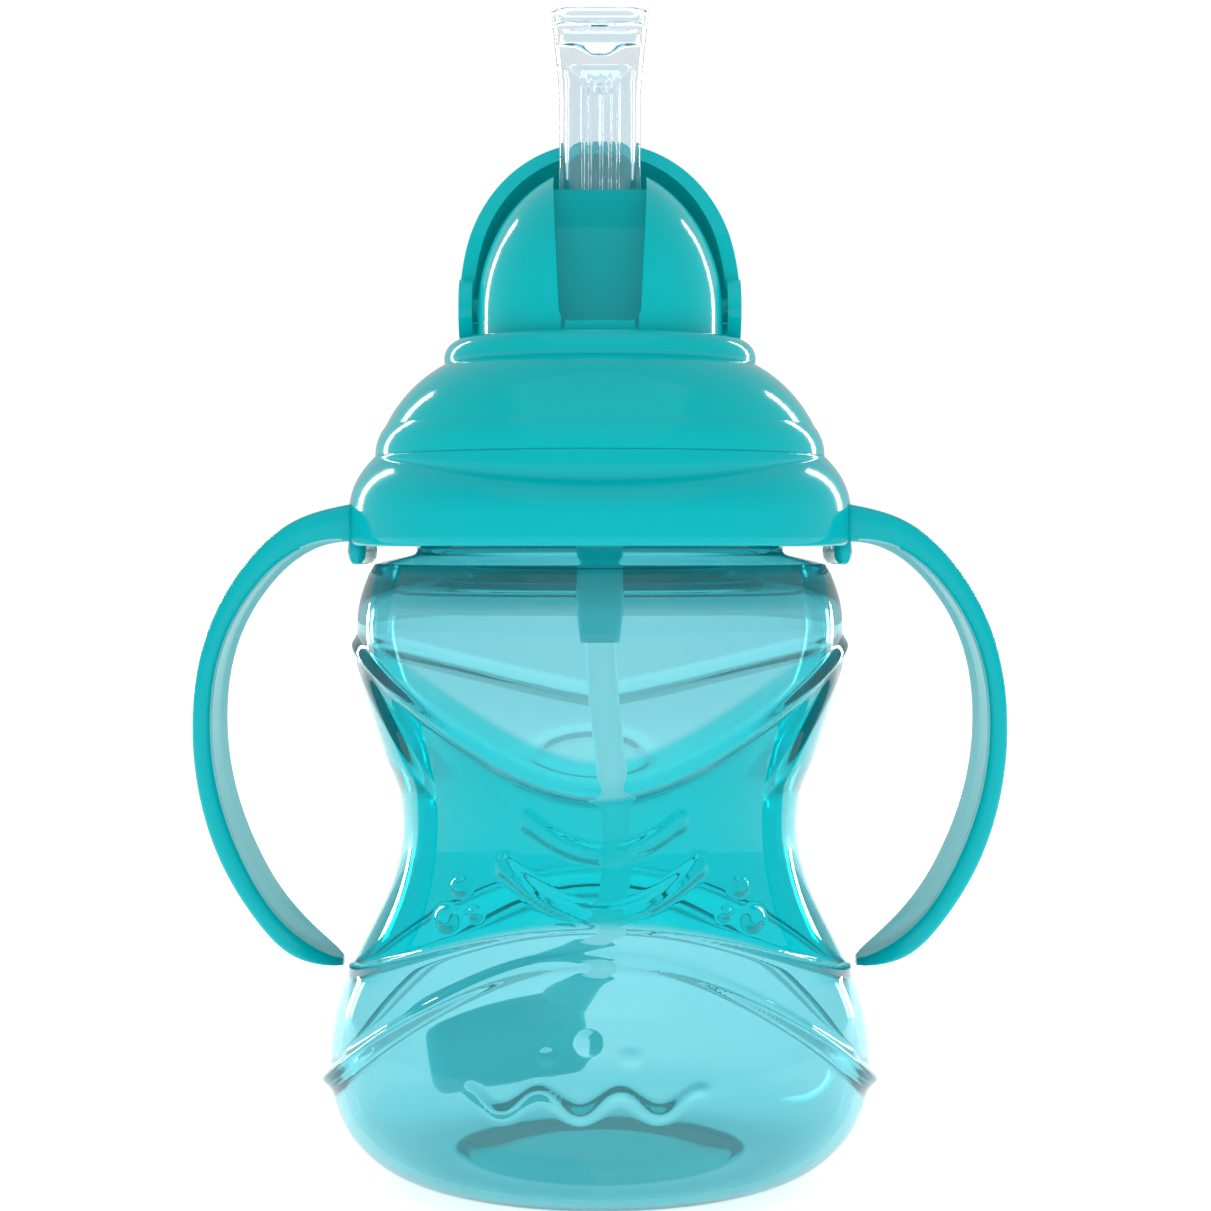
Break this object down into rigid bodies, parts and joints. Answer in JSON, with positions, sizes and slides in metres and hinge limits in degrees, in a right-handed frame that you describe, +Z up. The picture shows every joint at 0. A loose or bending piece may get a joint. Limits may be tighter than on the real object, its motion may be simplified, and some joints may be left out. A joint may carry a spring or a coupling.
{
  "type": "straw sippy cup",
  "caption": "Two-handled toddler's straw cup with a waisted bottle, stepped screw lid, flip-back cover over a folding flat spout, and a weighted straw inside",
  "frame": {"origin": "centre of the base, on the table", "axes": "+Z up through the spout, -Y the front of the cup where the child drinks, handles along +X and -X"},
  "size_m": [0.1182, 0.0794, 0.1712],
  "materials": {
    "clear_bottle": "clear tinted polypropylene",
    "teal_handle": "glossy, slightly translucent",
    "teal_lid": "glossy opaque",
    "soft_silicone": "clear satin silicone",
    "weight_shell": "clear",
    "steel": "turned",
    "seal_silicone": "satin"
  },
  "bodies": {
    "cup": {"cup_body": "clear_bottle", "handle_ring": "teal_handle"},
    "seal": {"lid_seal": "seal_silicone"},
    "lid": {"screw_lid": "teal_lid", "spout_base": "soft_silicone", "spout_bend": "soft_silicone", "straw_tube": "soft_silicone", "weight_barrel": "weight_shell", "weight_cap": "weight_shell", "weight_core": "steel"},
    "cover": {"flip_cover": "teal_lid"},
    "spout": {"spout_tip": "soft_silicone"}
  },
  "joints": [
    {"name": "lid_rise", "type": "slide", "parent": "cup", "child": "seal", "axis": [0, 0, 1], "range_m": [0, 0.0067]},
    {"name": "lid_unscrew", "type": "hinge", "parent": "seal", "child": "lid", "pos_m": [0, 0, 0.1049], "axis": [0, 0, 1], "range_deg": [0, 600]},
    {"name": "cover_flip", "type": "hinge", "parent": "lid", "child": "cover", "pos_m": [0, 0.005, 0.1265], "axis": [1, 0, 0], "range_deg": [0, 110]},
    {"name": "spout_fold", "type": "hinge", "parent": "lid", "child": "spout", "pos_m": [0, 0.0011, 0.1447], "axis": [1, 0, 0], "range_deg": [0, 150.1], "deforming": ["spout_bend", "spout_tip"]}
  ],
  "couplings": [
    {"joint": "lid_rise", "follows": "lid_unscrew", "m_per_rad": 0.00063662},
    {"joint": "spout_fold", "follows": "cover_flip", "ratio": 1.3636}
  ]
}
